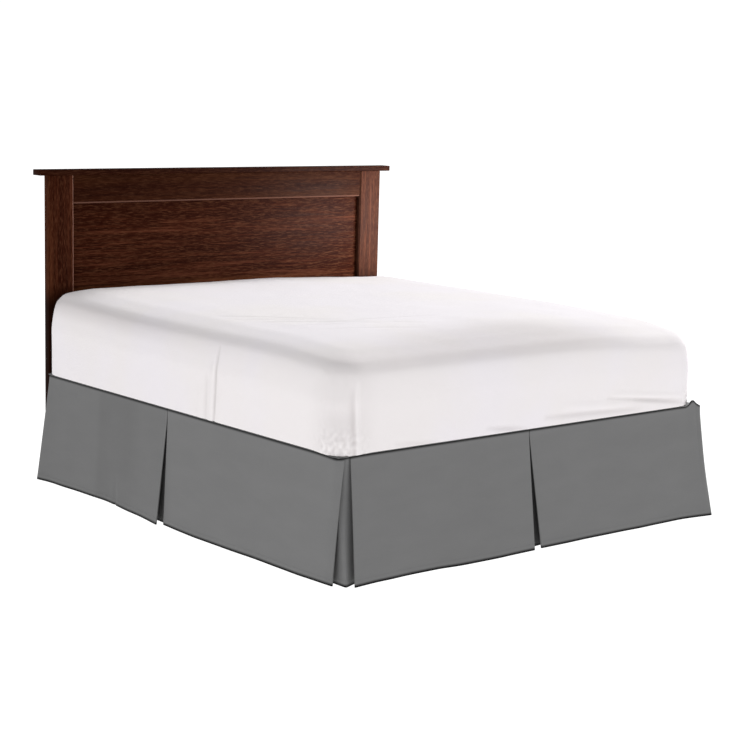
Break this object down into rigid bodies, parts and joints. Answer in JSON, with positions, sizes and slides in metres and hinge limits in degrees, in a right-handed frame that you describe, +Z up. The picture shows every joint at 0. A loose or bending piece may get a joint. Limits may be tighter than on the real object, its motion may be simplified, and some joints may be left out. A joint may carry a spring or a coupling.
{
  "type": "bed skirt on a bed with a headboard",
  "caption": "Pleated dust-ruffle bed skirt in grey cloth with split corners, hanging from its platform under the mattress of a king-size bed with a dark wood headboard.",
  "frame": {"origin": "on the floor, under the middle of the whole bed's footprint, midway between the two sides", "axes": "+Z up, +Y from the foot of the bed to the headboard, +X to the right of someone who stands at the foot and looks towards the headboard"},
  "size_m": [2.0604, 2.212, 1.341],
  "materials": {
    "grey_cloth": "brushed woven polyester, matte, mid grey",
    "deck_cloth": "thin woven platform cloth, matte, mid grey",
    "white_sheet": "smooth white fitted sheet",
    "ticking": "plain pale woven cover",
    "dark_wood": "dark reddish-brown stain under satin lacquer",
    "steel": "black powder coat"
  },
  "bodies": {
    "root": {"box_spring_left": "ticking", "box_spring_right": "ticking", "centre_rail_foot_middle": "steel", "centre_rail_middle_head": "steel", "cross_rail_foot": "steel", "cross_rail_head": "steel", "cross_rail_middle": "steel", "frame_rail_left": "steel", "frame_rail_right": "steel", "headboard_bottom_rail": "dark_wood", "headboard_cap": "dark_wood", "headboard_panel": "dark_wood", "headboard_plate_left": "steel", "headboard_plate_right": "steel", "headboard_post_left": "dark_wood", "headboard_post_right": "dark_wood", "headboard_top_rail": "dark_wood", "leg_centre_foot": "steel", "leg_centre_head": "steel", "leg_centre_middle": "steel", "leg_left_foot": "steel", "leg_left_head": "steel", "leg_left_middle": "steel", "leg_right_foot": "steel", "leg_right_head": "steel", "leg_right_middle": "steel", "mattress": "white_sheet", "skirt_corner_left": "grey_cloth", "skirt_corner_right": "grey_cloth", "skirt_deck": "deck_cloth", "skirt_drop_foot": "grey_cloth", "skirt_drop_left": "grey_cloth", "skirt_drop_right": "grey_cloth"}
  },
  "joints": []
}
